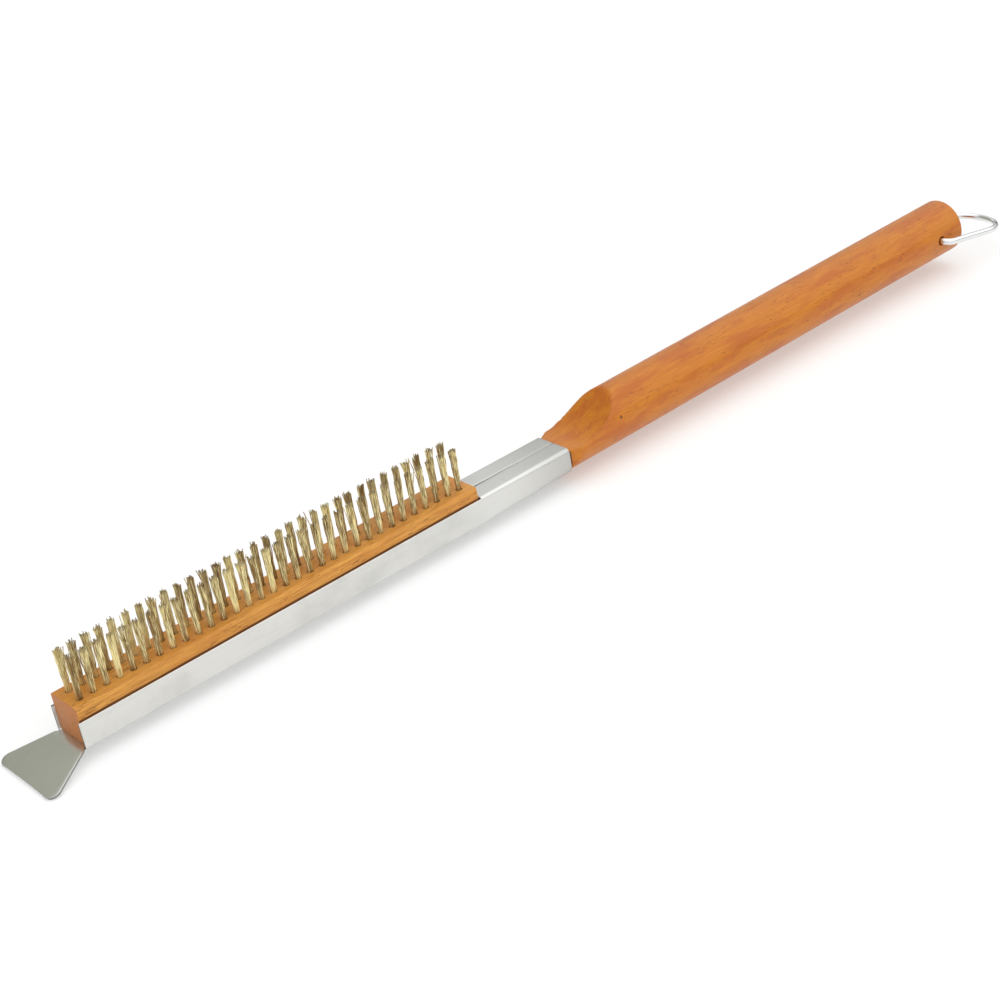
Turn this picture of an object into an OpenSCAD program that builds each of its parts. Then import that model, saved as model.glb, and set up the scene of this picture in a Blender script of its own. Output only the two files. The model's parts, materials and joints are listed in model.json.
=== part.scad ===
// Long-handled brush for cleaning cooking grids. A folded steel frame holds a hardwood block with
// two rows of wire tufts, carries a scraper blade in front and a round hardwood handle behind.
//
// Millimetres. X runs along the brush from the scraper to the handle, Z points up out of the
// tufts. The origin is on the flat steel back, under the middle of the open channel.

/* [Steel frame] */
// Outside width of the channel and of the tube
frame_w = 26; // [25:0.5:28]
// Height of the channel walls
wall_h = 14.4; // [13:0.1:14.8]
// Height of the closed tube
tube_h = 15; // [14.8:0.1:16]
// Thickness of the sheet
sheet_t = 0.9; // [0.7:0.1:1]
// Length of the open channel under the brush block
channel_l = 240.5; // [238:0.5:300]
// Length of the closed tube that takes the handle
tube_l = 61; // [52:1:80]
// Outside radius of the folds
fold_r = 1.6; // [1.3:0.1:2]
// Width of the open end of the tube's centre seam
seam_gap = 1.3; // [0.3:0.1:1.5]

/* [Scraper] */
// Length of the blade in front of the channel
blade_l = 28; // [20:1:40]
// Width of the scraping edge
blade_w = 54.6; // [40:0.2:70]
// Radius of the blade's two corners
blade_corner_r = 4; // [1:0.5:8]
// Angle that the blade is bent down
blade_drop = 14.9; // [5:0.1:30]

/* [Brush block] */
// Thickness of the block
block_h = 20.4; // [18:0.1:24]
// Gap between the block and each wall
block_gap = 0.4; // [0.1:0.05:0.6]
// How far the walls run past the block's front end
block_inset = 1.2; // [0:0.1:1.5]

/* [Tufts] */
// Number of tufts in each row
tufts_in_row = 32; // [8:1:32]
// Distance from one tuft to the next
tuft_pitch = 7.3; // [5:0.1:7.4]
// Distance between the two rows
row_gap = 10.3; // [8:0.1:13]
// Diameter of the drilled holes
hole_d = 3.2; // [2.4:0.1:3.8]
// Depth of the drilled holes
hole_depth = 12; // [8:0.5:14]
// Free length of the wires above the block
trim_l = 23.5; // [12:0.5:40]
// Diameter of a tuft at its tip
tip_d = 4.3; // [3.2:0.1:5]

/* [Handle] */
// Diameter of the handle
handle_d = 31.8; // [30.5:0.1:33]
// Length of the handle behind the tube's mouth
handle_l = 322; // [150:0.5:500]
// Length of the tang inside the tube
tang_l = 45; // [40:1:52]
// Angle that the handle rises from the line of the steel frame
handle_rise = 0.5; // [0:0.1:2]
// Slope of the scooped top, in degrees
scoop_slope = 41; // [25:1:50]
// Radius of the rounded end
end_r = 3; // [1:0.5:6]

/* [Hanging ring] */
// Diameter of the wire
wire_d = 4; // [2:0.1:4.4]
// Distance between the two legs, centre to centre
ring_w = 42; // [40:0.2:50]
// Distance from the hinge axis to the ring's round end
ring_l = 58.5; // [45:0.5:80]
// Distance from the handle's end to the hinge axis
ring_setback = 20.4; // [10:0.2:24]
// Angle that the ring hangs below the channel's line at rest
ring_droop = 10; // [0:0.5:30]

/* [Hidden] */
$fn = 48;
x_front = -channel_l / 2;
x_tube = channel_l / 2;
x_mouth = x_tube + tube_l;
x_end = x_mouth + handle_l * cos(handle_rise);
cut = 1; // how far a cutter runs past what it cuts
arc_steps = 8;

// The folds open out towards the tube's mouth, where the tube is pressed round the tang.
mouth_low_r = 4.6;
mouth_top_r = 2.5;
seam_l = 43;
neck_w = frame_w - 1; // the blade where it leaves the channel
bend_r = 9; // underside of the blade's bend

block_rear_gap = 0.8;
block_w = frame_w - 2 * sheet_t - 2 * block_gap;
block_l = channel_l - block_inset - block_rear_gap;
block_top = sheet_t + block_h;
block_front = x_front + block_inset;
block_mid = block_front + block_l / 2;
arris = 1.3; // chamfer on the block's long top edges
foot_arris = fold_r - sheet_t + 0.1; // and on the lower ones, clear of the folds' inside
rear_corner_r = 2.5;

hole_r = hole_d / 2;
hole_floor = block_top - hole_depth;
fit_gap = 0.05; // between a piece and the hole it sits in
anchor_t = 0.4;
anchor_w = hole_d + 0.4;
anchor_h = 1.8;
anchor_z = hole_floor + 0.6; // the folded wires pass underneath

handle_r = handle_d / 2;
axis_z = 13.8; // height of the handle's axis at the mouth
tang_w = frame_w - 2 * sheet_t - 1;
tang_low = sheet_t + 0.1;
tang_top = tube_h - 1.7;
shoulder = 0.5; // the handle swells this far behind the mouth
shoulder_side = 30; // degrees
shoulder_low = 22;
scoop_run = 5.5; // flat length before the scoop starts to climb
scoop_r = 42;
lip_r = 9;
lip_over = 0.6; // the lip's crest stands above the round, so that the two cross cleanly

ring_hole_r = wire_d / 2 + 0.08;
ring_sink_r = 3.2; // countersunk mouths of the cross-hole
ring_corner_r = 4;
ring_joint = 0.5; // gap where the two wire ends meet, inside the handle
hinge_l = handle_l - ring_setback;
hinge_x = x_mouth + hinge_l * cos(handle_rise);
hinge_z = axis_z + hinge_l * sin(handle_rise);

head_r = 3.2; // countersunk wood screws
shank_r = 1.6;
head_h = head_r - shank_r;
point_h = 3;
recess_w = 0.7;
block_screw_l = 14;
tang_screw_l = 11;
block_screw_x = [-84, 84];
tang_screw_x = [x_mouth - 35, x_mouth - 12];

function arc(centre, r, from, to) =
    [for (i = [0:arc_steps]) centre + r * [cos(from + (to - from) * i / arc_steps),
                                           sin(from + (to - from) * i / arc_steps)]];

// The arc that rounds corner b between a and c.
function unit(v) = v / norm(v);
function angle_of(v) = atan2(v[1], v[0]);
function corner(a, b, c, r) =
    let (u = unit(a - b), v = unit(c - b), half = acos(u * v) / 2,
         centre = b + unit(u + v) * r / sin(half),
         from = angle_of(b + u * r / tan(half) - centre),
         to = angle_of(b + v * r / tan(half) - centre))
    arc(centre, r, from, from + (to - from + 540) % 360 - 180);

// The section of an open channel standing on y = 0, with its lower corners rounded.
function u_outline(w, h, r) = concat(
    [[w / 2, h], [-w / 2, h]], arc([r - w / 2, r], r, 180, 270), arc([w / 2 - r, r], r, -90, 0));

// A box standing on y = 0, with its lower and upper corners rounded.
function box_outline(w, h, low_r, top_r) = concat(
    arc([w / 2 - low_r, low_r], low_r, -90, 0),
    arc([w / 2 - top_r, h - top_r], top_r, 0, 90),
    arc([top_r - w / 2, h - top_r], top_r, 90, 180),
    arc([low_r - w / 2, low_r], low_r, 180, 270));

// Half of an outline, given on one side of the X axis, joined to its mirror image.
function both_sides(half) = concat(half, [for (i = [len(half) - 1:-1:0]) [half[i][0], -half[i][1]]]);

function tuft_x(i) = block_mid + (i - (tufts_in_row + 1) / 2) * tuft_pitch;
function tuft_name(i) = str("tuft_pair_", i < 10 ? "0" : "", i);

// Takes an outline drawn in Y and Z, and runs it along X.
module along_x(from, to) {
    translate([from, 0, 0]) rotate([90, 0, 90]) linear_extrude(to - from) children();
}

// Takes an outline drawn in X and Z, and runs it across Y.
module across_y(w) {
    rotate([90, 0, 0]) linear_extrude(w, center = true) children();
}

// The countersunk hole for a screw that goes up from the steel back.
module screw_seat(x, l) {
    translate([x, 0, -fit_gap]) cylinder(h = head_h, r1 = head_r + 2 * fit_gap, r2 = shank_r + 2 * fit_gap);
    translate([x, 0, 0]) cylinder(h = l + 0.5, r = shank_r + fit_gap);
}

module all_screw_seats() {
    for (x = block_screw_x) screw_seat(x, block_screw_l);
    for (x = tang_screw_x) screw_seat(x, tang_screw_l);
}

module channel() {
    along_x(x_front, x_tube) difference() {
        polygon(u_outline(frame_w, wall_h, fold_r));
        translate([0, sheet_t]) polygon(u_outline(frame_w - 2 * sheet_t, wall_h, fold_r - sheet_t));
    }
}

// One of the tube's two ends, as a slice: t is 0 for the outside and the sheet for the inside.
module tube_slice(x, low_r, top_r, t) {
    along_x(x, x + 0.01) translate([0, t])
        polygon(box_outline(frame_w - 2 * t, tube_h - 2 * t, low_r - t, top_r - t));
}

module tube() {
    difference() {
        hull() {
            tube_slice(x_tube, fold_r, fold_r, 0);
            tube_slice(x_mouth - 0.01, mouth_low_r, mouth_top_r, 0);
        }
        hull() {
            tube_slice(x_tube - 0.1, fold_r, fold_r, sheet_t);
            tube_slice(x_mouth + 0.1, mouth_low_r, mouth_top_r, sheet_t);
        }
        // the open end of the seam between the two flaps
        translate([0, 0, tube_h - 2 * sheet_t]) linear_extrude(3 * sheet_t)
            polygon([[x_tube - cut, seam_gap / 2], [x_tube - cut, -seam_gap / 2], [x_tube + seam_l, 0]]);
    }
}

module scraper() {
    drop = [-cos(blade_drop), -sin(blade_drop)];
    bend = [x_front, -bend_r];
    flat_l = blade_l - bend_r * tan(blade_drop / 2) * 2;
    top = arc(bend, bend_r + sheet_t, 90, 90 + blade_drop);
    low = arc(bend, bend_r, 90 + blade_drop, 90);
    reach = top[arc_steps][0] + flat_l * drop[0];
    inner = [x_front + cut, neck_w / 2];
    neck = [x_front, neck_w / 2];
    tip = [reach, blade_w / 2];
    intersection() {
        across_y(blade_w + 2 * cut) polygon(concat(
            [[x_front + cut, sheet_t]], top,
            [top[arc_steps] + flat_l * drop, low[0] + flat_l * drop], low, [[x_front + cut, 0]]));
        translate([0, 0, -blade_l]) linear_extrude(2 * blade_l)
            polygon(both_sides(concat([inner, neck], corner(neck, tip, [reach, 0], blade_corner_r))));
    }
}

module steel_frame() {
    color("silver") difference() {
        union() {
            channel();
            tube();
            scraper();
        }
        all_screw_seats();
    }
}

module brush_block() {
    half = block_w / 2;
    rear = block_front + block_l;
    color("burlywood") difference() {
        intersection() {
            along_x(block_front, rear) polygon([
                [foot_arris - half, sheet_t], [half - foot_arris, sheet_t], [half, sheet_t + foot_arris],
                [half, block_top - arris], [half - arris, block_top], [arris - half, block_top],
                [-half, block_top - arris], [-half, sheet_t + foot_arris]]);
            // the two upright edges at the rear are rounded off
            linear_extrude(block_top + cut) polygon(both_sides(concat(
                [[block_front - cut, half + cut], [block_front, half + cut / 2]],
                corner([block_front, half], [rear, half], [rear, 0], rear_corner_r))));
        }
        for (i = [1:tufts_in_row], side = [-1, 1]) {
            translate([tuft_x(i), side * row_gap / 2, hole_floor]) cylinder(h = hole_depth + cut, r = hole_r);
            translate([tuft_x(i), side * row_gap / 2, anchor_z + anchor_h / 2])
                cube([anchor_t, anchor_w, anchor_h], center = true);
        }
        all_screw_seats();
    }
}

// A bundle of straight wires, folded round its anchor and spreading a little towards the tips.
module tuft(x, y) {
    translate([x, y, 0]) difference() {
        union() {
            translate([0, 0, hole_floor]) cylinder(h = hole_depth, r = hole_r - fit_gap);
            translate([0, 0, block_top]) cylinder(h = trim_l, r1 = hole_r - fit_gap, r2 = tip_d / 2);
        }
        translate([0, 0, anchor_z + anchor_h / 2]) cube([anchor_t, anchor_w, anchor_h], center = true);
    }
}

module tuft_pair(i) {
    color("darkkhaki") for (side = [-1, 1]) tuft(tuft_x(i), side * row_gap / 2);
}

// Flat-wire anchors, driven in over the folded wires at the foot of each hole.
module row_anchors(side) {
    color("gray") for (i = [1:tufts_in_row])
        translate([tuft_x(i), side * row_gap / 2, anchor_z + anchor_h / 2])
            cube([anchor_t, anchor_w, anchor_h], center = true);
}

module screw(x, l) {
    color("lightgray") translate([x, 0, 0]) difference() {
        union() {
            cylinder(h = head_h, r1 = head_r, r2 = shank_r);
            cylinder(h = l - point_h, r = shank_r);
            translate([0, 0, l - point_h]) cylinder(h = point_h, r1 = shank_r, r2 = 0.3);
        }
        for (turn = [0, 90]) rotate(turn) cube([1.1 * head_r, recess_w, 2 * head_h * 0.7], center = true);
    }
}

// The handle's outline seen from the side: tang, scooped top, shoulder underneath.
function handle_side() =
    let (foot = [x_mouth + scoop_run, tang_top + scoop_r],
         climb = arc(foot, scoop_r, -90, scoop_slope - 90),
         crest = axis_z + handle_r + lip_over,
         lip_start = crest - lip_r + lip_r * cos(scoop_slope),
         lip_x = climb[arc_steps][0] + (lip_start - climb[arc_steps][1]) / tan(scoop_slope)
               + lip_r * sin(scoop_slope),
         low = axis_z - handle_r - cut)
    concat([[x_mouth - tang_l, tang_low], [x_mouth - tang_l, tang_top]], climb,
           arc([lip_x, crest - lip_r], lip_r, 90 + scoop_slope, 90),
           [[x_end + cut, crest + handle_r], [x_end + cut, low],
            [x_mouth + shoulder + (tang_low - low) / tan(shoulder_low), low],
            [x_mouth + shoulder, tang_low]]);

// Half of its outline seen from above: the tang swells to the full round behind the mouth.
function handle_plan() =
    let (wide = handle_r + cut)
    [[x_mouth - tang_l, tang_w / 2], [x_mouth + shoulder, tang_w / 2],
     [x_mouth + shoulder + (wide - tang_w / 2) / tan(shoulder_side), wide], [x_end + cut, wide]];

module handle() {
    start = -tang_l - cut;
    color("peru") difference() {
        intersection() {
            translate([x_mouth, 0, axis_z]) rotate([0, 90 - handle_rise, 0]) rotate_extrude()
                polygon(concat([[0, start], [handle_r, start]],
                               arc([handle_r - end_r, handle_l - end_r], end_r, 0, 90), [[0, handle_l]]));
            across_y(handle_d + 4 * cut) polygon(handle_side());
            translate([0, 0, -handle_d]) linear_extrude(3 * handle_d) polygon(both_sides(handle_plan()));
        }
        translate([hinge_x, 0, hinge_z]) rotate([90, 0, 0]) {
            cylinder(h = handle_d + 2 * cut, r = ring_hole_r, center = true);
            for (side = [0, 180]) rotate([side, 0, 0]) translate([0, 0, handle_r - 1])
                cylinder(h = 1 + cut, r1 = ring_hole_r, r2 = ring_sink_r);
        }
        for (x = tang_screw_x) screw_seat(x, tang_screw_l);
    }
}

// One length of wire: across the handle, round two corners, down two legs and round the end.
module hang_ring() {
    wire_r = wire_d / 2;
    leg_y = ring_w / 2;
    leg_end = ring_l - leg_y;
    base_l = leg_y - ring_corner_r - ring_joint / 2;
    color("gainsboro") translate([hinge_x, 0, hinge_z]) rotate([0, ring_droop, 0]) {
        for (side = [0, 1]) mirror([0, side, 0]) {
            translate([0, ring_joint / 2, 0]) rotate([-90, 0, 0]) cylinder(h = base_l, r = wire_r);
            translate([ring_corner_r, leg_y - ring_corner_r, 0]) rotate(90)
                rotate_extrude(angle = 90) translate([ring_corner_r, 0]) circle(r = wire_r);
            translate([ring_corner_r, leg_y, 0]) rotate([0, 90, 0])
                cylinder(h = leg_end - ring_corner_r, r = wire_r);
        }
        translate([leg_end, 0, 0]) rotate(-90)
            rotate_extrude(angle = 180) translate([leg_y, 0]) circle(r = wire_r);
    }
}

steel_frame();
brush_block();
handle();
hang_ring();
for (i = [1:len(block_screw_x)])
    screw(block_screw_x[i - 1], block_screw_l);
for (i = [1:len(tang_screw_x)])
    screw(tang_screw_x[i - 1], tang_screw_l);
row_anchors(-1);  // near_row_anchors
row_anchors(1);  // far_row_anchors
for (i = [1:tufts_in_row])
    tuft_pair(i);
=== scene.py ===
import json
import math
import random

import bmesh
import bpy
from mathutils import Matrix, Vector


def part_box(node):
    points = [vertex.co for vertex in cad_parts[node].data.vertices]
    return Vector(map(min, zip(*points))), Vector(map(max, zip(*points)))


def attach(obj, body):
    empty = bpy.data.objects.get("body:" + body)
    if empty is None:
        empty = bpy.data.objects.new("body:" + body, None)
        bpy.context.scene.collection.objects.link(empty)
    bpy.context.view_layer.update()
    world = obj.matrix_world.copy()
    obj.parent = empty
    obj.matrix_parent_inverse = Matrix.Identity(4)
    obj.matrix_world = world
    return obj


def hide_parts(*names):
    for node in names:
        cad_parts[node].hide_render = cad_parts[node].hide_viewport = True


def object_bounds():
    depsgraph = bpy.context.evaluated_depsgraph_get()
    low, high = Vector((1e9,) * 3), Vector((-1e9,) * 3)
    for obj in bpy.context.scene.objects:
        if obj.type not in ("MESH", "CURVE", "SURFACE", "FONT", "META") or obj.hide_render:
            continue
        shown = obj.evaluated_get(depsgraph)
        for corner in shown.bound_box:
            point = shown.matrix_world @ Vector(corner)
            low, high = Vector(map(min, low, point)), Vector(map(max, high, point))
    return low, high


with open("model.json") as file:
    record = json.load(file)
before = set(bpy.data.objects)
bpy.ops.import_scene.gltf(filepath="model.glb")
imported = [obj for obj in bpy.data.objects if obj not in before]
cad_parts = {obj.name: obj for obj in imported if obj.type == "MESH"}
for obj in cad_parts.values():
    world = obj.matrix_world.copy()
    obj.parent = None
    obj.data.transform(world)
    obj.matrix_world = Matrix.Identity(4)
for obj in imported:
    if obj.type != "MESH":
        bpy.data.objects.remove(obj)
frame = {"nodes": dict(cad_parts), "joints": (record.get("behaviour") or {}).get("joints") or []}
cad_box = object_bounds()

# ---------------------------------------------------------------------------
# Camera, floor and light. The brush lies on its back on a pale floor, in a bright room with one
# large soft lamp, a low dark skirting and a darker corner behind the scraper. From underneath,
# the floor lets the light and the view through.
# ---------------------------------------------------------------------------

MM = 0.001
LENS = 75.09
CAMERA_PLACE = Vector((-0.4147, -0.7821, 0.5142))
CAMERA_AZIMUTH = -35.39
CAMERA_ELEVATION = 28.2
CAMERA_ROLL = 10.85
LAMP_WAY = Vector((0.35, -0.5, 1.2))
LAMP_SPREAD = math.radians(110)
WALL_GREY = (0.84, 0.85, 0.85, 1)
CORNER_GREY = (0.39, 0.41, 0.33, 1)
CORNER_WAY = Vector((-0.25, 0.85, 0.5)).normalized()
CORNER_STARTS = 0.70
CORNER_FULL = 0.98
SKIRTING_LOW = 0.05
SKIRTING_TOP = 0.25
SKIRTING_LIGHT = 0.25
FLOOR_REACH = 100
FLOOR_GAP = 0.3 * MM


def look_from(place, azimuth, elevation, roll):
    """The camera's matrix. Azimuth 0 looks along +Y, and roll turns the picture to the left."""
    a, e, r = (math.radians(v) for v in (azimuth, elevation, roll))
    right = Vector((math.cos(a), math.sin(a), 0))
    up = Vector((-math.sin(a) * math.sin(e), math.cos(a) * math.sin(e), math.cos(e)))
    across = right * math.cos(r) - up * math.sin(r)
    upright = right * math.sin(r) + up * math.cos(r)
    turned = Matrix((across, upright, across.cross(upright))).transposed().to_4x4()
    return Matrix.Translation(place) @ turned


camera = bpy.data.objects.new("camera", bpy.data.cameras.new("camera"))
camera.data.sensor_width = 36
camera.data.lens = LENS
camera.matrix_world = look_from(CAMERA_PLACE, CAMERA_AZIMUTH, CAMERA_ELEVATION, CAMERA_ROLL)
bpy.context.collection.objects.link(camera)
bpy.context.scene.camera = camera
bpy.context.scene.view_settings.view_transform = "Standard"

lamp = bpy.data.objects.new("key", bpy.data.lights.new("key", "SUN"))
lamp.data.energy = 1.2
lamp.data.angle = LAMP_SPREAD
lamp.location = (cad_box[0] + cad_box[1]) / 2 + LAMP_WAY
lamp.rotation_euler = LAMP_WAY.to_track_quat("Z", "Y").to_euler()
bpy.context.collection.objects.link(lamp)

world = bpy.data.worlds.new("room")
bpy.context.scene.world = world
world.use_nodes = True
sky = world.node_tree
way = sky.nodes.new("ShaderNodeTexCoord")
corner = sky.nodes.new("ShaderNodeVectorMath")
corner.operation = "DOT_PRODUCT"
corner.inputs[1].default_value = CORNER_WAY
spread = sky.nodes.new("ShaderNodeMapRange")
spread.interpolation_type = "SMOOTHSTEP"
spread.inputs["From Min"].default_value = CORNER_STARTS
spread.inputs["From Max"].default_value = CORNER_FULL
wall = sky.nodes.new("ShaderNodeMix")
wall.data_type = "RGBA"
wall.inputs[6].default_value = WALL_GREY
wall.inputs[7].default_value = CORNER_GREY
height = sky.nodes.new("ShaderNodeSeparateXYZ")
skirting = sky.nodes.new("ShaderNodeMapRange")
skirting.interpolation_type = "SMOOTHSTEP"
skirting.inputs["From Min"].default_value = SKIRTING_LOW
skirting.inputs["From Max"].default_value = SKIRTING_TOP
skirting.inputs["To Min"].default_value = SKIRTING_LIGHT
sky.links.new(way.outputs["Generated"], corner.inputs[0])
sky.links.new(corner.outputs["Value"], spread.inputs["Value"])
sky.links.new(spread.outputs["Result"], wall.inputs["Factor"])
sky.links.new(wall.outputs[2], sky.nodes["Background"].inputs["Color"])
sky.links.new(way.outputs["Generated"], height.inputs["Vector"])
sky.links.new(height.outputs["Z"], skirting.inputs["Value"])
sky.links.new(skirting.outputs["Result"], sky.nodes["Background"].inputs["Strength"])

floor_mesh = bpy.data.meshes.new("floor")
floor_z = cad_box[0].z - FLOOR_GAP
quarters = [(-1, -1), (1, -1), (1, 1), (-1, 1)]
floor_mesh.from_pydata([(x * FLOOR_REACH, y * FLOOR_REACH, floor_z) for x, y in quarters],
                       [], [(0, 1, 2, 3)])
floor = bpy.data.objects.new("floor", floor_mesh)
bpy.context.collection.objects.link(floor)
floor_paint = bpy.data.materials.new("floor_paint")
floor_paint.use_nodes = True
coats = floor_paint.node_tree
paint = coats.nodes["Principled BSDF"]
paint.inputs["Base Color"].default_value = (0.69, 0.69, 0.69, 1)
paint.inputs["Roughness"].default_value = 0.9
paint.inputs["Emission Color"].default_value = (1, 1, 1, 1)
paint.inputs["Emission Strength"].default_value = 0.3
clear = coats.nodes.new("ShaderNodeBsdfTransparent")
side = coats.nodes.new("ShaderNodeNewGeometry")
either = coats.nodes.new("ShaderNodeMixShader")
coats.links.new(side.outputs["Backfacing"], either.inputs["Fac"])
coats.links.new(paint.outputs["BSDF"], either.inputs[1])
coats.links.new(clear.outputs["BSDF"], either.inputs[2])
coats.links.new(either.outputs["Shader"], coats.nodes["Material Output"].inputs["Surface"])
floor_mesh.materials.append(floor_paint)

# ---------------------------------------------------------------------------
# Steel frame. One strip of thin sheet: a channel with upright walls in front, closed behind it
# into a tube by two flaps that meet in the middle, and flared and bent down at the front end
# into a scraper. It is pressed cold, so the folds are round and the face stays satin.
# ---------------------------------------------------------------------------

steel_low, steel_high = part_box("steel_frame")
block_low, block_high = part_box("brush_block")

SHEET = 0.9 * MM
SIDE_GAP = 0.4 * MM
FRONT_GAP = 1.2 * MM
REAR_GAP = 0.8 * MM
WALL_H = 14.4 * MM
FOLD_R = 1.6 * MM
half_w = block_high.y + SIDE_GAP + SHEET
x_front = block_low.x - FRONT_GAP
x_tube = block_high.x + REAR_GAP
x_mouth = steel_high.x
tube_h = steel_high.z


class Nodes:
    """Short calls for a shader graph. Each returns an output socket, and i0, i1 are inputs by number."""

    def __init__(self, tree):
        self.tree = tree

    def put(self, kind, output=0, settings=(), **inputs):
        node = self.tree.nodes.new("ShaderNode" + kind)
        for key, value in dict(settings).items():
            setattr(node, key, value)
        for name, value in inputs.items():
            label = int(name[1:]) if name[1:].isdigit() else name.replace("_", " ")
            self.feed(node.inputs[label], value)
        return node.outputs[output]

    def feed(self, socket, value):
        if isinstance(value, bpy.types.NodeSocket):
            self.tree.links.new(value, socket)
        else:
            socket.default_value = value

    def math(self, operation, a, b=0.0, c=0.0):
        return self.put("Math", settings={"operation": operation}, i0=a, i1=b, i2=c)

    def stretch(self, vector, x, y, z):
        return self.put("VectorMath", settings={"operation": "MULTIPLY"}, i0=vector, i1=(x, y, z))

    def grain(self, vector, detail=2.0, rough=0.5, scale=1.0):
        return self.put("TexNoise", Vector=vector, Scale=scale, Detail=detail, Roughness=rough)

    def ramp(self, value, low, high, start=0.0, end=1.0):
        return self.put("MapRange", settings={"interpolation_type": "SMOOTHSTEP"},
                        i0=value, i1=low, i2=high, i3=start, i4=end)

    def mix(self, factor, a, b, blend="MIX"):
        return self.put("Mix", 2, {"data_type": "RGBA", "blend_type": blend}, i0=factor, i6=a, i7=b)


def effect(name, inputs, outputs):
    """A shader node group with named inputs and outputs, and its inner nodes to build it with."""
    tree = bpy.data.node_groups.new(name, "ShaderNodeTree")
    for label, (kind, value) in inputs.items():
        socket = tree.interface.new_socket(label, in_out="INPUT", socket_type="NodeSocket" + kind)
        if value is not None:
            socket.default_value = value
    for label, kind in outputs.items():
        tree.interface.new_socket(label, in_out="OUTPUT", socket_type="NodeSocket" + kind)
    entry = tree.nodes.new("NodeGroupInput")
    leave = tree.nodes.new("NodeGroupOutput")
    return Nodes(tree), entry.outputs, leave.inputs


def material(name, group, values, bump, **surface):
    """A material whose changing inputs come from one effect, and whose even ones are set here."""
    made = bpy.data.materials.new(name)
    made.use_nodes = True
    tree = made.node_tree
    shader = tree.nodes["Principled BSDF"]
    for label, value in surface.items():
        shader.inputs[label.replace("_", " ")].default_value = value
    part = tree.nodes.new("ShaderNodeGroup")
    part.node_tree = group
    for label, value in values.items():
        part.inputs[label].default_value = value
    place = tree.nodes.new("ShaderNodeTexCoord")
    tree.links.new(place.outputs["Object"], part.inputs["Place"])
    if "Facing" in part.inputs:
        tree.links.new(place.outputs["Normal"], part.inputs["Facing"])
    tree.links.new(part.outputs["Color"], shader.inputs["Base Color"])
    tree.links.new(part.outputs["Roughness"], shader.inputs["Roughness"])
    lift = tree.nodes.new("ShaderNodeBump")
    lift.inputs["Strength"].default_value = 1.0
    lift.inputs["Distance"].default_value = bump
    tree.links.new(part.outputs["Height"], lift.inputs["Height"])
    tree.links.new(lift.outputs["Normal"], shader.inputs["Normal"])
    return made


def rolled_metal():
    """Fine lines along the metal, cloudy duller patches, and a painted shade that grows along X.

    Noise is stretched per millimetre: little along the metal, more across it.
    """
    n, given, out = effect(
        "rolled metal",
        {"Place": ("Vector", None), "Metal": ("Color", (0.7, 0.7, 0.7, 1)),
         "Cloud": ("Color", (0.6, 0.6, 0.6, 1)), "Lines": ("Float", 0.5), "Dullness": ("Float", 0.35),
         "Haze From": ("Float", 10.0), "Haze To": ("Float", 11.0)},
        {"Color": "Color", "Roughness": "Float", "Height": "Float"})
    place = n.stretch(given["Place"], 1000, 1000, 1000)
    lines = n.grain(n.stretch(place, 0.03, 3.2, 3.2), detail=4, rough=0.7)
    short = n.grain(n.stretch(place, 0.25, 6.0, 6.0), detail=2)
    cloud = n.grain(n.stretch(place, 0.03, 0.05, 0.05), detail=5, rough=0.6)
    fleck = n.ramp(n.grain(n.stretch(place, 0.8, 1.1, 1.1), detail=3), 0.62, 0.74)
    marked = n.math("MULTIPLY", n.math("SUBTRACT", lines, 0.5), given["Lines"])
    # Painted shade: a ramp along X turns the metal to the cloud tone, standing in for shade and a dimmer
    # reflection.
    painted_shade = n.ramp(n.put("SeparateXYZ", Vector=given["Place"]), given["Haze From"], given["Haze To"])
    cloud_and_shade = n.math("MAXIMUM", painted_shade, n.math("MULTIPLY", n.ramp(cloud, 0.42, 0.8), 0.6))
    tone = n.mix(cloud_and_shade, given["Metal"], given["Cloud"])
    shade = n.math("ADD", 1.0, n.math("MULTIPLY", marked, 0.35))
    grey = n.put("CombineColor", Red=shade, Green=shade, Blue=shade)
    n.feed(out["Color"], n.mix(1.0, tone, grey, "MULTIPLY"))
    dull = n.math("MULTIPLY_ADD", n.math("SUBTRACT", cloud, 0.5), 0.3, given["Dullness"])
    dull = n.math("MULTIPLY_ADD", marked, 0.35, dull)
    n.feed(out["Roughness"], n.math("MULTIPLY_ADD", fleck, 0.05, dull))
    n.feed(out["Height"], n.math("MULTIPLY_ADD", short, 0.5, lines))
    return n.tree


rolled = rolled_metal()
# The sheet turns to its cloud tone from 135 to 185 mm along X, towards the tube's mouth: painted shade, a
# dimmer reflection painted into the colour.
sheet_steel = material("sheet_steel", rolled,
                       {"Metal": (0.70, 0.695, 0.67, 1), "Cloud": (0.53, 0.53, 0.505, 1),
                        "Lines": 0.4, "Dullness": 0.33, "Haze From": 0.135, "Haze To": 0.185},
                       bump=0.01 * MM, Metallic=1.0)
# The cut and eased edges turn dark from 4 mm behind the channel's front and round the scraper: painted
# shade on edges that lie in shadow.
cut_edge = material("cut_edge", rolled,
                    {"Metal": (0.96, 0.94, 0.88, 1), "Cloud": (0.22, 0.22, 0.21, 1),
                     "Lines": 1.0, "Dullness": 0.45, "Haze From": x_front + 4 * MM,
                     "Haze To": x_front + 0.5 * MM}, bump=0.03 * MM, Metallic=0.7)

BACK_STEPS = 10
FOLD_STEPS = 6
WALL_STEPS = 4
FLAP_STEPS = 5
EDGE_ROLL = 0.6 * MM


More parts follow.
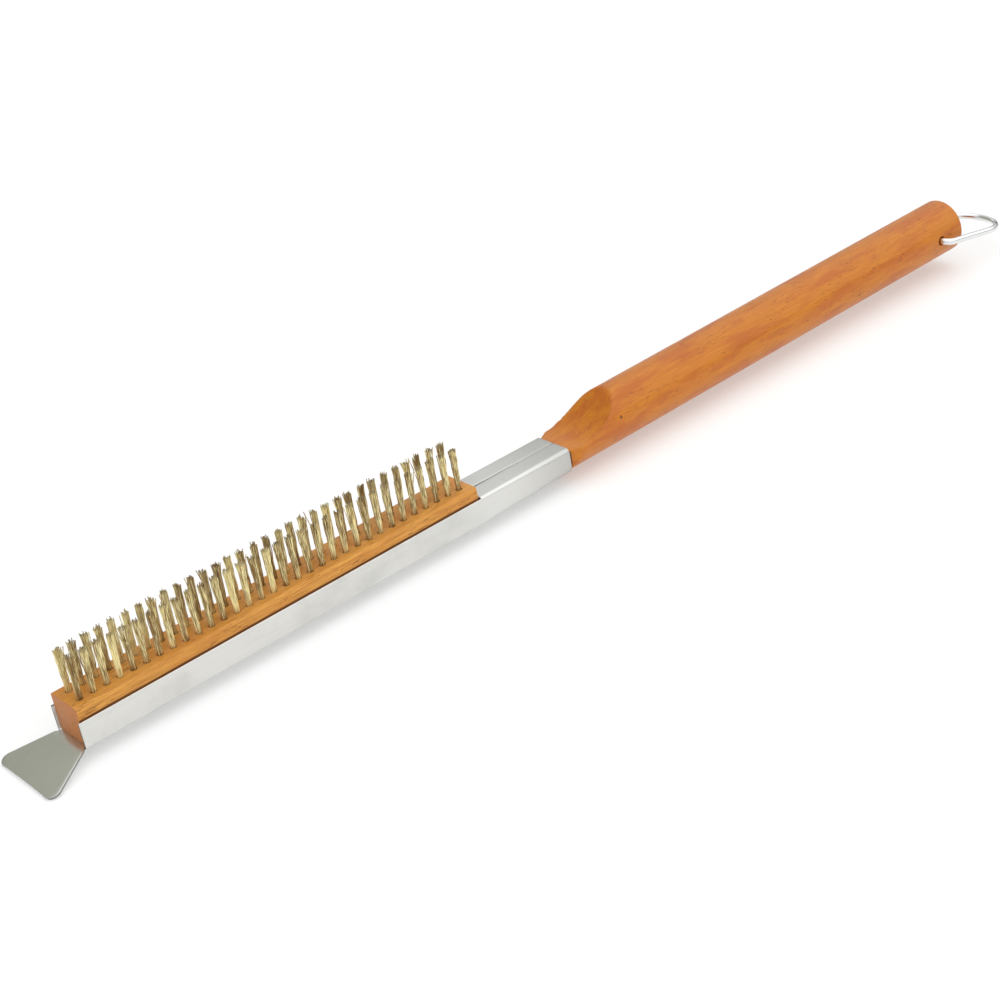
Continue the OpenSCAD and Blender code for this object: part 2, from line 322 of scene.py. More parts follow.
def half_section(low_r, top_r, top, gap):
    """One side of the tube's outside, from the middle of its back round to the seam."""
    points = [((half_w - low_r) * i / BACK_STEPS, 0.0) for i in range(BACK_STEPS + 1)]
    for i in range(1, FOLD_STEPS + 1):
        turn = math.pi / 2 * i / FOLD_STEPS
        points.append((half_w - low_r + low_r * math.sin(turn), low_r - low_r * math.cos(turn)))
    for i in range(1, WALL_STEPS + 1):
        points.append((half_w, low_r + (top - top_r - low_r) * i / WALL_STEPS))
    for i in range(1, FOLD_STEPS + 1):
        turn = math.pi / 2 * i / FOLD_STEPS
        points.append((half_w - top_r + top_r * math.cos(turn), top - top_r + top_r * math.sin(turn)))
    for i in range(1, FLAP_STEPS + 1):
        points.append((half_w - top_r + (gap - half_w + top_r) * i / FLAP_STEPS, top))
    return points


def channel_section():
    """The same for the open channel, where shearing has rolled the wall's top edge over."""
    side = half_section(FOLD_R, 0.0, WALL_H - EDGE_ROLL, 0.0)
    side = side[:BACK_STEPS + FOLD_STEPS + WALL_STEPS + 1]
    for turn in (math.radians(30), math.radians(60)):
        side.append((half_w - EDGE_ROLL * (1 - math.cos(turn)),
                     WALL_H - EDGE_ROLL * (1 - math.sin(turn))))
    return side


BLADE_DROP = math.radians(14.9)
BLADE_HALF = 27.3 * MM
BLADE_CORNER_R = 4 * MM
BEND_R = 9 * MM
BEND_BOW = 2.0 * MM
NECK_TUCK = 0.7 * MM
NECK_HALF = half_w - NECK_TUCK
blade_l = (x_front - steel_low.x) / math.cos(BLADE_DROP)
flare = (BLADE_HALF - NECK_HALF) / blade_l


def blade_half_width(along):
    """Half the blade's width at a distance from the channel, with its corners rounded."""
    lean = math.atan(flare)
    centre = BLADE_HALF - BLADE_CORNER_R * math.tan((math.pi / 2 + lean) / 2)
    touch = blade_l - BLADE_CORNER_R * (1 + math.sin(lean))
    if along <= touch:
        return NECK_HALF + flare * along
    rest = along - blade_l + BLADE_CORNER_R
    return centre + math.sqrt(max(BLADE_CORNER_R ** 2 - rest ** 2, 0.0))


def blade_point(along, share):
    """A point of the blade's underside. The bend bows forward in the middle of its width."""
    start = BEND_BOW * (1 - share * share)
    bend_l = BEND_R * BLADE_DROP
    turn = min(max(along - start, 0.0) / bend_l, 1.0) * BLADE_DROP
    rest = max(along - start - bend_l, 0.0)
    x = min(along, start) + BEND_R * math.sin(turn) + rest * math.cos(BLADE_DROP)
    z = -BEND_R * (1 - math.cos(turn)) - rest * math.sin(BLADE_DROP)
    return x_front - x, blade_half_width(along) * share, z


def new_piece(name, verts, faces, finish, slot, node, body="brush", crease=None):
    """A mesh that rides on a body of the part and stands for a CAD node."""
    mesh = bpy.data.meshes.new(name)
    mesh.from_pydata(verts, [], faces)
    piece = bpy.data.objects.new(name, mesh)
    bpy.context.collection.objects.link(piece)
    mesh.materials.append(finish)
    mesh.shade_smooth()
    if crease is not None:
        mesh.set_sharp_from_angle(angle=math.radians(crease))
    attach(piece, body)
    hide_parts(node)
    return piece


def settle(piece, crease):
    """Applies the piece's modifiers, and drops the cutters that they used."""
    cutters = [m.object for m in piece.modifiers if m.type == "BOOLEAN"]
    seen = piece.evaluated_get(bpy.context.evaluated_depsgraph_get())
    mesh = bpy.data.meshes.new_from_object(seen)
    piece.modifiers.clear()
    piece.data = mesh
    for cutter in cutters:
        bpy.data.objects.remove(cutter)
    mesh.set_sharp_from_angle(angle=math.radians(crease))


CUTTER_SIDES = 32
CUT_PAST = 1 * MM


def cut(piece, shapes):
    """Cuts closed turned shapes out of a piece. Each is (place, axis, profile of (along, radius))."""
    verts = []
    faces = []
    for place, axis, profile in shapes:
        turn = Vector(axis).to_track_quat("Z", "Y").to_matrix()
        base = len(verts)
        for along, radius in profile:
            for i in range(CUTTER_SIDES):
                angle = 2 * math.pi * i / CUTTER_SIDES
                point = Vector((radius * math.cos(angle), radius * math.sin(angle), along))
                verts.append(Vector(place) + turn @ point)
        for row in range(len(profile) - 1):
            start = base + row * CUTTER_SIDES
            for i in range(CUTTER_SIDES):
                a = start + i
                b = start + (i + 1) % CUTTER_SIDES
                faces.append((a, b, b + CUTTER_SIDES, a + CUTTER_SIDES))
        faces.append([base + i for i in reversed(range(CUTTER_SIDES))])
        last = base + (len(profile) - 1) * CUTTER_SIDES
        faces.append([last + i for i in range(CUTTER_SIDES)])
    mesh = bpy.data.meshes.new("cutter")
    mesh.from_pydata(verts, [], faces)
    cutter = bpy.data.objects.new("cutter", mesh)
    bpy.context.collection.objects.link(cutter)
    modifier = piece.modifiers.new("cut", "BOOLEAN")
    modifier.operation = "DIFFERENCE"
    modifier.solver = "EXACT"
    modifier.object = cutter


def middle_x(node):
    """Where a CAD node's middle is along the brush."""
    low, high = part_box(node)
    return (low.x + high.x) / 2


HEAD_R = 3.3 * MM
SHANK_R = 1.65 * MM
SCREWS = ("block_screw_1", "block_screw_2", "handle_screw_1", "handle_screw_2")
screw_x = [middle_x(name) for name in SCREWS]


def screw_seat(x, depth):
    """The countersunk hole of a screw that goes up from the flat back."""
    sink = HEAD_R - SHANK_R
    return ((x, 0, 0), (0, 0, 1), [(-CUT_PAST, HEAD_R), (0, HEAD_R), (sink, SHANK_R), (depth, SHANK_R)])


SEAM_GAP = 1.3 * MM
SEAM_L = 43 * MM
SEAM_SHUT = 0.06 * MM
FLAP_SETBACK = 0.006
LOW_R_GROWS = 3.0 * MM
TOP_R_GROWS = 0.9 * MM
CORNER_STEPS = 8
BLADE_STEPS = 16
CHANNEL_STEPS = 24
TUBE_STEPS = 24


def steel_strip():
    """The outside face of the whole strip, row by row from the scraper's edge to the mouth."""
    wall_top = BACK_STEPS + FOLD_STEPS + WALL_STEPS
    seam = wall_top + FOLD_STEPS + FLAP_STEPS
    rows = []
    corner = [1 - math.sin(math.pi / 2 * i / CORNER_STEPS) for i in range(CORNER_STEPS, -1, -1)]
    lengths = [blade_l - BLADE_CORNER_R * share for share in corner]
    lengths += [lengths[-1] * (1 - i / BLADE_STEPS) for i in range(1, BLADE_STEPS)]
    for along in lengths:
        rows.append((BACK_STEPS, [blade_point(along, i / BACK_STEPS) for i in range(BACK_STEPS + 1)]))
    for i in range(CHANNEL_STEPS + 1):
        x = x_front + (x_tube - x_front) * i / CHANNEL_STEPS
        side = channel_section()
        rows.append((len(side) - 1, [(x, y, z) for y, z in side]))
    for i in range(TUBE_STEPS + 1):
        share = max(i / TUBE_STEPS, FLAP_SETBACK)
        x = x_tube + (x_mouth - x_tube) * share
        gap = max(SEAM_GAP * (1 - (x - x_tube) / SEAM_L), SEAM_SHUT) / 2
        side = half_section(FOLD_R + LOW_R_GROWS * share, FOLD_R + TOP_R_GROWS * share, tube_h, gap)
        rows.append((seam, [(x, y, z) for y, z in side]))
    verts = []
    index = {}
    for r, (last, side) in enumerate(rows):
        for i in range(-last, last + 1):
            x, y, z = side[abs(i)]
            index[r, i] = len(verts)
            verts.append((x, math.copysign(y, i), z))
    faces = []
    for r in range(len(rows) - 1):
        for i in range(-seam, seam):
            around = [(r, i), (r, i + 1), (r + 1, i + 1), (r + 1, i)]
            if all(spot in index for spot in around):
                faces.append([index[spot] for spot in around])
    return verts, faces


steel = new_piece("folded_steel_frame", *steel_strip(), sheet_steel, "sheet_steel", "steel_frame")
steel.data.materials.append(cut_edge)
thick = steel.modifiers.new("sheet", "SOLIDIFY")
thick.thickness = SHEET
thick.offset = -1
thick.use_even_offset = True
thick.material_offset_rim = 1
eased = steel.modifiers.new("eased edges", "BEVEL")
eased.width = 0.15 * MM
eased.segments = 2
eased.material = 1
eased.limit_method = "ANGLE"
eased.angle_limit = math.radians(55)
cut(steel, [screw_seat(x, 3 * MM) for x in screw_x])
settle(steel, crease=40)

# ---------------------------------------------------------------------------
# Brush block. A straight-grained hardwood bar, planed, with its long arrises taken off and its
# rear corners rounded, then drilled with two rows of holes and varnished. Screws hold it from
# below.
# ---------------------------------------------------------------------------

# Dark brown for the wood's pores and pin knot, and for the painted shade at the seam with the steel.
PORE_AND_SHADE_BROWN = (0.10, 0.032, 0.008, 1)


def turned_wood():
    """Growth rings about a sloping pith line, fibre streaks, open pores and darker end grain.

    Lengths are in millimetres, and noise is stretched along the grain, which runs along X. A painted shade
    line darkens the wood at the seam where it meets the steel, on faces that don't face up and aren't end
    grain.
    """
    n, given, out = effect(
        "wood figure",
        {"Place": ("Vector", None), "Facing": ("Vector", None), "Pith Y": ("Float", 30.0),
         "Pith Z": ("Float", -60.0), "Pith Slope": ("Float", 0.1), "Ring Width": ("Float", 3.0),
         "Light": ("Color", (0.8, 0.5, 0.2, 1)), "Dark": ("Color", (0.5, 0.25, 0.08, 1)),
         "Red": ("Color", (0.6, 0.2, 0.08, 1)), "End": ("Color", (0.6, 0.3, 0.2, 1)),
         "Pores": ("Float", 0.5), "Figure": ("Float", 0.5), "Fibre": ("Float", 0.5),
         "Gloss": ("Float", 0.35), "Pin Knot": ("Vector", (0, 0, -900)),
         "Seam Axis": ("Vector", (0, 0, 1)), "Seam At": ("Float", 0.0)},
        {"Color": "Color", "Roughness": "Float", "Height": "Float"})
    place = n.stretch(given["Place"], 1000, 1000, 1000)
    split = n.put("SeparateXYZ", Vector=place).node.outputs
    wave = n.put("SeparateXYZ", Vector=n.put("TexNoise", 1, Vector=n.stretch(place, 0.011, 0.05, 0.05),
                                             Scale=1.0, Detail=2.0)).node.outputs
    lean = n.math("MULTIPLY", split[0], given["Pith Slope"])
    y = n.math("MULTIPLY_ADD", wave[0], 16.0, n.math("SUBTRACT", split[1], given["Pith Y"]))
    z = n.math("MULTIPLY_ADD", wave[1], 16.0, n.math("SUBTRACT", split[2], given["Pith Z"]))
    z = n.math("ADD", z, lean)
    away = n.math("SQRT", n.math("ADD", n.math("MULTIPLY", y, y), n.math("MULTIPLY", z, z)))
    ring = n.math("FRACT", n.math("DIVIDE", away, given["Ring Width"]))
    late = n.math("MULTIPLY", n.ramp(ring, 0.25, 0.93), n.ramp(ring, 0.93, 1.0, 1.0, 0.0))
    fibre = n.grain(n.stretch(place, 0.05, 1.5, 1.5), detail=5, rough=0.7)
    broad = n.grain(n.stretch(place, 0.03, 0.13, 0.13), detail=4, rough=0.6)
    clump = n.ramp(n.grain(n.stretch(place, 0.04, 0.13, 0.13), detail=2), 0.42, 0.6)
    pore = n.ramp(n.grain(n.stretch(place, 0.28, 2.0, 2.0), detail=2, rough=0.4), 0.6, 0.7)
    pore = n.math("MULTIPLY", n.math("MULTIPLY", pore, clump), given["Pores"])
    late = n.math("MULTIPLY", late, given["Figure"])
    streak = n.math("MULTIPLY", n.ramp(fibre, 0.4, 0.62), given["Fibre"])
    tone = n.mix(n.math("MAXIMUM", late, streak), given["Light"], given["Dark"])
    tone = n.mix(n.math("MULTIPLY", n.ramp(broad, 0.42, 0.64), 0.7), tone, given["Red"])
    faces = n.put("SeparateXYZ", Vector=given["Facing"]).node.outputs
    sawn = n.ramp(n.math("ABSOLUTE", faces[0]), 0.75, 0.97)
    tone = n.mix(n.math("MULTIPLY", sawn, 0.75), tone, given["End"])
    # Painted shade: a narrow dark band at the seam with the steel, standing in for the shade that falls in
    # the gap there.
    along = n.put("VectorMath", 1, {"operation": "DOT_PRODUCT"}, i0=place, i1=given["Seam Axis"])
    apart = n.math("ABSOLUTE", n.math("SUBTRACT", along, given["Seam At"]))
    painted_seam_shade = n.math("MULTIPLY", n.ramp(apart, 0.4, 0.9, 1.0, 0.0), n.ramp(faces[2], 0.3, 0.7, 0.9, 0.0))
    painted_seam_shade = n.math("MULTIPLY", painted_seam_shade, n.math("SUBTRACT", 1.0, sawn))
    knot = n.put("VectorMath", 1, {"operation": "DISTANCE"}, i0=place, i1=given["Pin Knot"])
    knot = n.ramp(n.math("MULTIPLY_ADD", fibre, 1.2, knot), 1.0, 2.0, 0.85, 0.0)
    pore = n.math("MAXIMUM", pore, knot)
    tone = n.mix(n.math("MAXIMUM", pore, painted_seam_shade), tone, PORE_AND_SHADE_BROWN)
    n.feed(out["Color"], tone)
    rough = n.math("MULTIPLY_ADD", n.math("SUBTRACT", fibre, 0.5), 0.22, given["Gloss"])
    rough = n.math("MULTIPLY_ADD", sawn, 0.15, rough)
    n.feed(out["Roughness"], n.math("MULTIPLY_ADD", pore, 0.25, rough))
    n.feed(out["Height"], n.math("SUBTRACT", n.math("MULTIPLY", fibre, 0.35), pore))
    return n.tree


figure = turned_wood()
block_wood = material("block_wood", figure,
                      {"Pith Y": 46.0, "Pith Z": -40.0, "Pith Slope": 0.03, "Ring Width": 2.2,
                       "Light": (0.74, 0.345, 0.062, 1), "Dark": (0.39, 0.14, 0.02, 1),
                       "Red": (0.57, 0.22, 0.032, 1), "End": (0.52, 0.185, 0.07, 1),
                       "Pores": 0.7, "Figure": 0.4, "Fibre": 0.75, "Gloss": 0.45,
                       # Seam At: painted shade on the block's sides just above the steel wall's top.
                       "Seam At": WALL_H / MM + 0.1},
                      bump=0.08 * MM, Specular_IOR_Level=0.3, Coat_Weight=0.1,
                      Coat_Roughness=0.3)

TUFTS = 32
ROW_Y = 5.15 * MM
HOLE_R = 1.6 * MM
HOLE_DEPTH = 12 * MM
BLOCK_SCREW_L = 14 * MM
tuft_x = [middle_x(f"tuft_pair_{i + 1:02d}") for i in range(TUFTS)]
block_top = block_high.z


def planed_block():
    """The bar with its edges worked: top arrises, back arrises, rear corners, then the ends."""
    shape = bmesh.new()
    bmesh.ops.create_cube(shape, size=1.0)
    size = block_high - block_low
    centre = (block_high + block_low) / 2
    for v in shape.verts:
        v.co = Vector(c * s for c, s in zip(v.co, size)) + centre
    worked = [(1.3 * MM, 4, lambda a, b: a.z > centre.z and b.z > centre.z and a.x != b.x),
              (0.8 * MM, 2, lambda a, b: a.z < centre.z and b.z < centre.z and a.x != b.x),
              (2.5 * MM, 5, lambda a, b: a.x > centre.x and b.x > centre.x and abs(a.z - b.z) > size.z / 2),
              (0.35 * MM, 2, lambda a, b: abs(a.x - b.x) < 1e-6 and (a.x < centre.x) == (b.x < centre.x))]
    for width, steps, chosen in worked:
        edges = [e for e in shape.edges if chosen(e.verts[0].co, e.verts[1].co)
                 and e.calc_face_angle(0.0) > math.radians(35)]
        bmesh.ops.bevel(shape, geom=edges, offset=width, offset_type="OFFSET", segments=steps,
                        profile=0.5, affect="EDGES", clamp_overlap=True)
    shape.verts.index_update()
    verts = [v.co.copy() for v in shape.verts]
    faces = [[v.index for v in f.verts] for f in shape.faces]
    shape.free()
    return verts, faces


block = new_piece("varnished_brush_block", *planed_block(), block_wood, "block_wood", "brush_block")
tuft_hole = [(0, HOLE_R), (HOLE_DEPTH - 0.25 * MM, HOLE_R), (HOLE_DEPTH + 0.5 * MM, HOLE_R + 0.5 * MM)]
cut(block, [((x, side * ROW_Y, block_top - HOLE_DEPTH), (0, 0, 1), tuft_hole)
            for x in tuft_x for side in (-1, 1)])
cut(block, [screw_seat(x, BLOCK_SCREW_L) for x in screw_x[:2]])
settle(block, crease=35)

# ---------------------------------------------------------------------------
# Tufts. Crimped brass-coated wires, cut to length, folded in half over a flat steel anchor and
# driven into their hole together with it. Above the block each bundle opens a little, and its
# tips are trimmed in place, so they end nearly level.
# ---------------------------------------------------------------------------


def drawn_wire():
    """Wire that differs a little from strand to strand and darkens towards its cut tips."""
    n, given, out = effect(
        "drawn wire",
        {"Place": ("Vector", None), "Bright": ("Color", (0.7, 0.6, 0.4, 1)),
         "Dull": ("Color", (0.4, 0.3, 0.2, 1)), "Tip": ("Color", (0.2, 0.2, 0.2, 1)),
         "Tip From": ("Float", 0.03), "Tip To": ("Float", 0.05), "Dullness": ("Float", 0.4)},
        {"Color": "Color", "Roughness": "Float", "Height": "Float"})
    place = n.stretch(given["Place"], 1000, 1000, 1000)
    strand = n.grain(n.stretch(place, 2.2, 2.2, 0.12), detail=2)
    tuft = n.grain(n.stretch(place, 0.12, 0.3, 0.02), detail=1)
    mixed = n.math("MULTIPLY_ADD", tuft, 0.5, n.math("MULTIPLY", strand, 0.7))
    tone = n.mix(n.ramp(mixed, 0.5, 0.72), given["Bright"], given["Dull"])
    height = n.put("SeparateXYZ", 2, Vector=given["Place"])
    tip = n.put("MapRange", i0=height, i1=given["Tip From"], i2=given["Tip To"], i3=0.0, i4=1.0)
    n.feed(out["Color"], n.mix(tip, tone, given["Tip"]))
    uneven = n.math("SUBTRACT", strand, 0.5)
    n.feed(out["Roughness"], n.math("MULTIPLY_ADD", uneven, 0.3, given["Dullness"]))
    n.feed(out["Height"], n.grain(n.stretch(place, 6, 6, 1.5), detail=2))
    return n.tree


tuft_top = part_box("tuft_pair_01")[1].z
tuft_wire = material("tuft_wire", drawn_wire(),
                     {"Bright": (0.98, 0.87, 0.47, 1), "Dull": (0.34, 0.21, 0.075, 1),
                      "Tip": (0.26, 0.20, 0.12, 1), "Tip From": tuft_top - 2 * MM,
                      "Tip To": tuft_top + 1 * MM, "Dullness": 0.4},
                     bump=0.02 * MM, Metallic=0.6)

WIRE_R = 0.24 * MM
FOLDED_WIRES = 14
WIRE_SIDES = 5
WIRE_STEPS = 11
ANCHOR_LOW = block_top - HOLE_DEPTH + 0.6 * MM
ANCHOR_H = 1.9 * MM
FOOT_R = 1.28 * MM
OPEN_R = 1.9 * MM
STRAY = 0.22 * MM
WILD_STRAY = 1.1 * MM
WILD_SHARE = 0.12


def sweep(path, radius, sides, verts, faces):
    """Adds a round wire along a path, with a flat cut at each end."""
    base = len(verts)
    side = Vector((1, 0, 0))
    for i, point in enumerate(path):
        along = (path[min(i + 1, len(path) - 1)] - path[max(i - 1, 0)]).normalized()
        side = side - along * side.dot(along)
        side = side.normalized() if side.length > 1e-6 else along.orthogonal().normalized()
        other = along.cross(side)
        for k in range(sides):
            angle = 2 * math.pi * k / sides
            verts.append(point + (side * math.cos(angle) + other * math.sin(angle)) * radius)
    for i in range(len(path) - 1):
        for k in range(sides):
            a = base + i * sides + k
            b = base + i * sides + (k + 1) % sides
            faces.append((a, b, b + sides, a + sides))
    faces.append([base + k for k in reversed(range(sides))])
    last = base + (len(path) - 1) * sides
    faces.append([last + k for k in range(sides)])


def packed(count):
    """Places for the strands over half of a unit circle, x > 0, evenly spread."""
    spots = []
    turn = math.pi * (3 - math.sqrt(5))
    for i in range(2 * count):
        r = math.sqrt((i + 0.5) / (2 * count))
        spot = (r * math.cos(i * turn), r * math.sin(i * turn))
        if spot[0] > 0 and len(spots) < count:
            spots.append(spot)
    return spots


def strand(foot, spot, way, dice, lean, twist):
    """One leg of a folded wire, from the anchor up to its tip."""
    x, y = spot
    wild = dice.random() < WILD_SHARE
    spread = OPEN_R * (1.0 + dice.uniform(-0.12, 0.12))
    stray = Vector((dice.gauss(0, 1), dice.gauss(0, 1), 0)) * (WILD_STRAY if wild else STRAY)
    phase = dice.uniform(0, 2 * math.pi)
    bend = dice.uniform(0, 2 * math.pi)
    crimp = dice.uniform(0.12, 0.28) * MM
    pitch = dice.uniform(4.2, 5.4) * MM
    top = tuft_top + dice.uniform(-1.6, 0.2) * MM
    low = ANCHOR_LOW + ANCHOR_H
    path = []
    for i in range(WIRE_STEPS):
        share = i / (WIRE_STEPS - 1)
        z = low + (top - low) * share
        free = max(z - block_top, 0.0) / (tuft_top - block_top)
        room = FOOT_R + (spread - FOOT_R) * free ** 1.2
        turned = twist * free
        out = Vector((x * way * math.cos(turned) - y * math.sin(turned),
                      x * way * math.sin(turned) + y * math.cos(turned), 0)) * room
        wave = Vector((math.cos(bend), math.sin(bend), 0)) * (
            crimp * math.sin(phase + 2 * math.pi * z / pitch) * min(free * 6, 1))
        path.append(foot + out + wave + stray * free ** 2 + lean * free + Vector((0, 0, z)))
    return path


def tuft(x, y, dice, verts, faces):
    """A bundle: every wire goes down one side of the anchor, under it and up the other side."""
    foot = Vector((x, y, 0))
    lean = Vector((dice.gauss(0.25, 0.45), dice.gauss(0, 0.4), 0)) * MM
    twist = dice.uniform(-0.5, 0.5)
    for spot in packed(FOLDED_WIRES):
        left = strand(foot, spot, -1, dice, lean, twist)
        right = strand(foot, spot, 1, dice, lean, twist)
        under = ANCHOR_LOW - 0.3 * MM + (1 - spot[0]) * 0.12 * MM
        turn = [Vector((left[0].x, left[0].y, under)), Vector((right[0].x, right[0].y, under))]
        sweep(left[::-1] + turn + right, WIRE_R, WIRE_SIDES, verts, faces)


for number, x in enumerate(tuft_x, 1):
    dice = random.Random(700 + number)
    verts = []
    faces = []
    for side in (-1, 1):
        tuft(x, side * ROW_Y, dice, verts, faces)
    new_piece(f"wires_{number:02d}", verts, faces, tuft_wire, "tuft_wire",
              f"tuft_pair_{number:02d}", crease=60)


def finish_nodes(names, finish):
    """Gives CAD pieces that are seen as they are their finish."""
    for name in names:
        frame["nodes"][name].data.materials.clear()
        frame["nodes"][name].data.materials.append(finish)


anchor_steel = material("anchor_steel", rolled,
                        {"Metal": (0.55, 0.55, 0.53, 1), "Cloud": (0.42, 0.42, 0.40, 1),
                         "Lines": 0.3, "Dullness": 0.4}, bump=0.01 * MM, Metallic=1.0)
finish_nodes(("near_row_anchors", "far_row_anchors"), anchor_steel)

# ---------------------------------------------------------------------------
# Handle. A hardwood round, shaped at its front end: a tang that fits the steel tube, a hollow
# scooped into the top for the thumb, and its edge softened by hand. Sanded, stained warm brown
# and varnished.
# ---------------------------------------------------------------------------

HANDLE_R = 15.9 * MM
AXIS_Z = 13.8 * MM
RISE = math.radians(0.5)
HANDLE_L = 322 * MM
END_R = 3 * MM
TANG_HALF = half_w - SHEET - 0.5 * MM
TANG_LOW = SHEET + 0.1 * MM
TANG_TOP = tube_h - 1.7 * MM
SCOOP_RUN = 5.5 * MM
SCOOP_R = 42 * MM
SCOOP_SLOPE = math.radians(41)
LIP_R = 9 * MM
CREST_RISE = 0.6 * MM
SCOOP_END = 60 * MM
SHOULDER = 0.5 * MM
SIDE_OPENS = math.radians(30)
BACK_OPENS = math.radians(22)
FULL_ROUND_AT = 40 * MM
OUT_OF_REACH = 1.3 * HANDLE_R
TANG_L = 45 * MM
TANG_CRISP = 90
MOUTH_CRISP = 12
CRISP_GAIN = 60
CRISP_RUN = 16 * MM
AROUND = 128


def scoop_height(past):
    """Height of the handle's top in front of the crest, at a distance behind the mouth."""
    crest = AXIS_Z + HANDLE_R + CREST_RISE
    climb_x = SCOOP_RUN + SCOOP_R * math.sin(SCOOP_SLOPE)
    climb_z = TANG_TOP + SCOOP_R * (1 - math.cos(SCOOP_SLOPE))
    lip_z = crest - LIP_R * (1 - math.cos(SCOOP_SLOPE))
    lip_x = climb_x + (lip_z - climb_z) / math.tan(SCOOP_SLOPE)
    if past <= SCOOP_RUN:
        return TANG_TOP
    if past <= climb_x:
        return TANG_TOP + SCOOP_R - math.sqrt(SCOOP_R ** 2 - (past - SCOOP_RUN) ** 2)
    if past <= lip_x:
        return climb_z + (past - climb_x) * math.tan(SCOOP_SLOPE)
    over = past - lip_x - LIP_R * math.sin(SCOOP_SLOPE)
    if over < 0:
        return crest - LIP_R + math.sqrt(LIP_R ** 2 - over ** 2)
    return crest + over


def middle_height(past):
    """Height of the point that each section is drawn round: the tang's middle, then the axis."""
    tang = (TANG_LOW + TANG_TOP) / 2
    share = min(max(past / FULL_ROUND_AT, 0.0), 1.0)
    return tang + (AXIS_Z + past * math.sin(RISE) - tang) * share


def handle_reach(past, turn):
    """How far the surface is from the section's middle, in the direction turn.

    It is the nearest of the round bar, the tang's sides, its back and the scoop. A high power
    rounds where two of them meet: the higher, the crisper the edge.
    """
    start = middle_height(past)
    drop = start - AXIS_Z - past * math.sin(RISE)
    across = abs(math.cos(turn))
    upward = math.sin(turn)
    radius = HANDLE_R
    if past > HANDLE_L - END_R:
        rest = past - HANDLE_L + END_R
        radius = HANDLE_R - END_R + math.sqrt(max(END_R ** 2 - rest ** 2, 0.0))
    limits = [math.sqrt(radius ** 2 - (drop * across) ** 2) - drop * upward]
    open_up = max(past - SHOULDER, 0.0)
    side = TANG_HALF + open_up * math.tan(SIDE_OPENS)
    low = start - TANG_LOW + open_up * math.tan(BACK_OPENS)
    if across > 1e-3 and side < OUT_OF_REACH:
        limits.append(side / across)
    if upward > 1e-3 and past < SCOOP_END:
        limits.append((scoop_height(past) - start) / upward)
    if upward < -1e-3 and low < OUT_OF_REACH:
        limits.append(low / -upward)
    crisp = TANG_CRISP
    if past > -1 * MM:
        crisp = MOUTH_CRISP + CRISP_GAIN * min(max(past / CRISP_RUN, 0.0), 1.0)
    least = min(limits)
    return least * sum((least / limit) ** crisp for limit in limits) ** (-1 / crisp)


def carved_handle():
    """Rings of points along the axis, close together where the shape changes."""
    steps = [-TANG_L, -TANG_L + 0.4 * MM]
    steps += [past * MM for past in (-30, -15, -4, -1, 0, 0.5, 1, 2, 3)]
    steps += [(4 + 0.75 * i) * MM for i in range(66)]
    steps += [(54 + 6 * i) * MM for i in range(44)]
    steps += [HANDLE_L - END_R + END_R * math.sin(math.pi / 2 * i / 8) for i in range(9)]
    verts = []
    for past in steps:
        for i in range(AROUND):
            turn = 2 * math.pi * i / AROUND
            out = handle_reach(past, turn)
            verts.append((x_mouth + past * math.cos(RISE), out * math.cos(turn),
                          middle_height(past) + out * math.sin(turn)))
    faces = []
    for r in range(len(steps) - 1):
        for i in range(AROUND):
            a = r * AROUND + i
            b = r * AROUND + (i + 1) % AROUND
            faces.append((a, b, b + AROUND, a + AROUND))
    faces.append(list(reversed(range(AROUND))))
    last = (len(steps) - 1) * AROUND
    faces.append([last + i for i in range(AROUND)])
    return verts, faces


handle_wood = material("handle_wood", figure,
                       {"Pith Y": -6.0, "Pith Z": 44.0, "Pith Slope": -0.035, "Ring Width": 3.4,
                        "Light": (0.60, 0.20, 0.012, 1), "Dark": (0.40, 0.10, 0.005, 1),
                        "Red": (0.46, 0.105, 0.010, 1), "End": (0.36, 0.08, 0.010, 1),
                        "Pores": 0.6, "Figure": 0.2, "Fibre": 0.4, "Gloss": 0.36,
                        "Pin Knot": (217.7, -15.4, 18.0),
                        # Seam At: painted shade on the handle just behind the tube's mouth, on faces that
                        # don't face up.
                        "Seam Axis": (1, 0, 0), "Seam At": x_mouth / MM + 1.0},
                       bump=0.05 * MM, Specular_IOR_Level=0.3, Coat_Weight=0.15,
                       Coat_Roughness=0.2)
handle = new_piece("varnished_handle", *carved_handle(), handle_wood, "handle_wood", "handle")

swing = next(j for j in frame["joints"] if j["name"] == "ring_swing")
hinge = Vector(swing["pos_m"])
RING_WIRE_R = 2 * MM
CROSS_HOLE_R = RING_WIRE_R + 0.08 * MM
SINK_R = 3.2 * MM
SINK_NECK_R = 2.7 * MM
SINK_NECK_AT = 0.8 * MM
SINK_DEPTH = 4 * MM
HANDLE_SCREW_L = 11 * MM
sink = [(-HANDLE_R - CUT_PAST, SINK_R), (-HANDLE_R + SINK_NECK_AT, SINK_NECK_R),
        (-HANDLE_R + SINK_DEPTH, CROSS_HOLE_R)]
cut(handle, [(hinge, (0, 1, 0), sink + [(-along, radius) for along, radius in reversed(sink)])])
cut(handle, [screw_seat(x, HANDLE_SCREW_L) for x in screw_x[2:]])
settle(handle, crease=50)

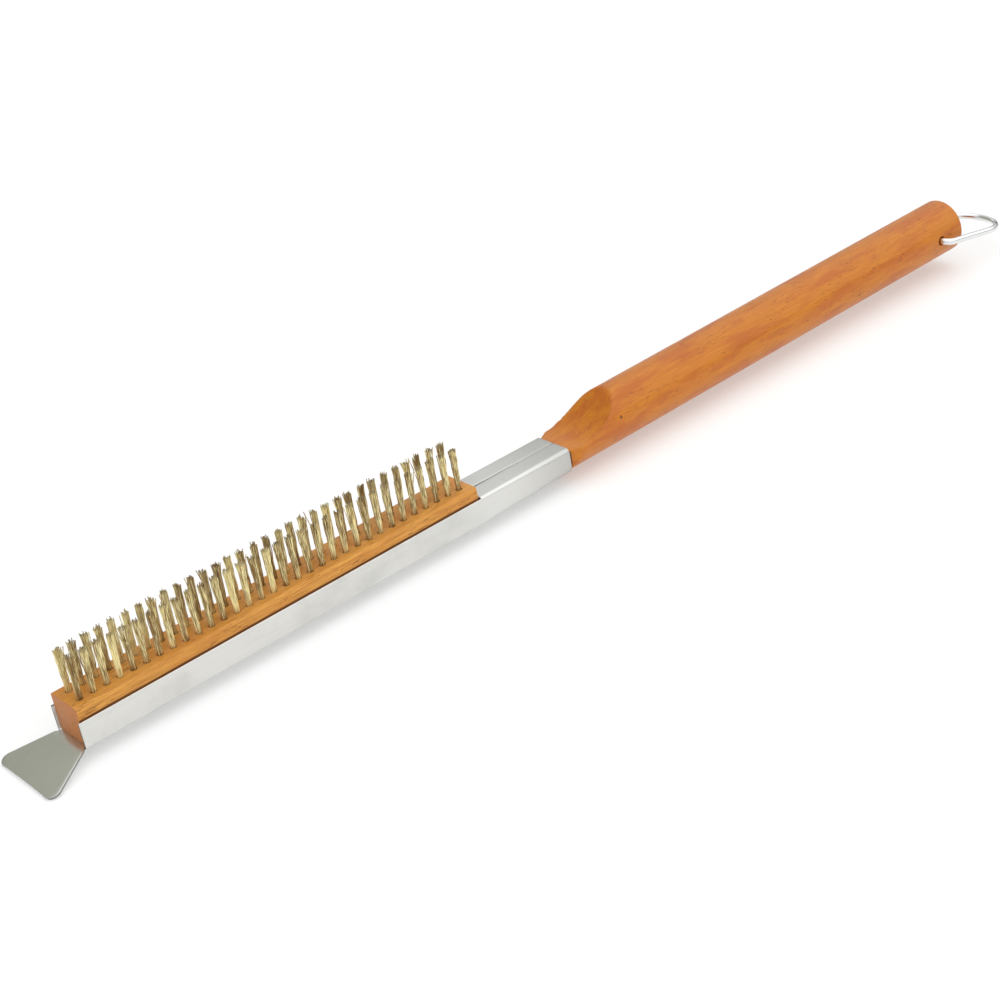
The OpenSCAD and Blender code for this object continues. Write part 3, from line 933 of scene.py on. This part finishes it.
# ---------------------------------------------------------------------------
# Hanging ring. One length of bright plated steel wire, bent to a loop. It is sprung open and its
# two ends go into the handle's cross-hole, one from each side, where they turn freely.
# ---------------------------------------------------------------------------

LEG_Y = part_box("hang_ring")[1].y - RING_WIRE_R
RING_L = 58.5 * MM
DROOP = math.radians(10)
CORNER_R = 4 * MM
HALF_END_GAP = 0.25 * MM
BEND_STEPS = 8
LEG_STEPS = 6
HALF_ROUND_STEPS = 20
RING_SIDES = 28


def ring_path():
    """The wire's middle line: in from one side, along a leg, round the end and back."""
    flat = [(0.0, HALF_END_GAP)]
    for i in range(BEND_STEPS + 1):
        turn = math.pi / 2 * i / BEND_STEPS
        flat.append((CORNER_R * (1 - math.cos(turn)), LEG_Y - CORNER_R * (1 - math.sin(turn))))
    leg_end = RING_L - LEG_Y
    for i in range(1, LEG_STEPS):
        flat.append((CORNER_R + (leg_end - CORNER_R) * i / LEG_STEPS, LEG_Y))
    for i in range(HALF_ROUND_STEPS + 1):
        turn = math.pi / 2 * i / HALF_ROUND_STEPS
        flat.append((leg_end + LEG_Y * math.sin(turn), LEG_Y * math.cos(turn)))
    flat += [(along, -y) for along, y in reversed(flat[:-1])]
    return [hinge + Vector((along * math.cos(DROOP), y, -along * math.sin(DROOP))) for along, y in flat]


bright_wire = material("bright_wire", rolled,
                       {"Metal": (0.80, 0.80, 0.80, 1), "Cloud": (0.72, 0.73, 0.74, 1),
                        "Lines": 0.2, "Dullness": 0.09}, bump=0.002 * MM, Metallic=1.0)
ring_verts = []
ring_faces = []
sweep(ring_path(), RING_WIRE_R, RING_SIDES, ring_verts, ring_faces)
new_piece("hanging_ring", ring_verts, ring_faces, bright_wire, "ring_wire", "hang_ring",
          body="ring", crease=50)

# ---------------------------------------------------------------------------
# Screws. Zinc-plated countersunk wood screws with a cross recess, two up into the block and two
# up into the handle's tang, flush with the flat back.
# ---------------------------------------------------------------------------

zinc = material("zinc_plate", rolled,
                {"Metal": (0.70, 0.70, 0.68, 1), "Cloud": (0.55, 0.55, 0.52, 1),
                 "Lines": 0.2, "Dullness": 0.3}, bump=0.006 * MM, Metallic=1.0)
finish_nodes(SCREWS, zinc)
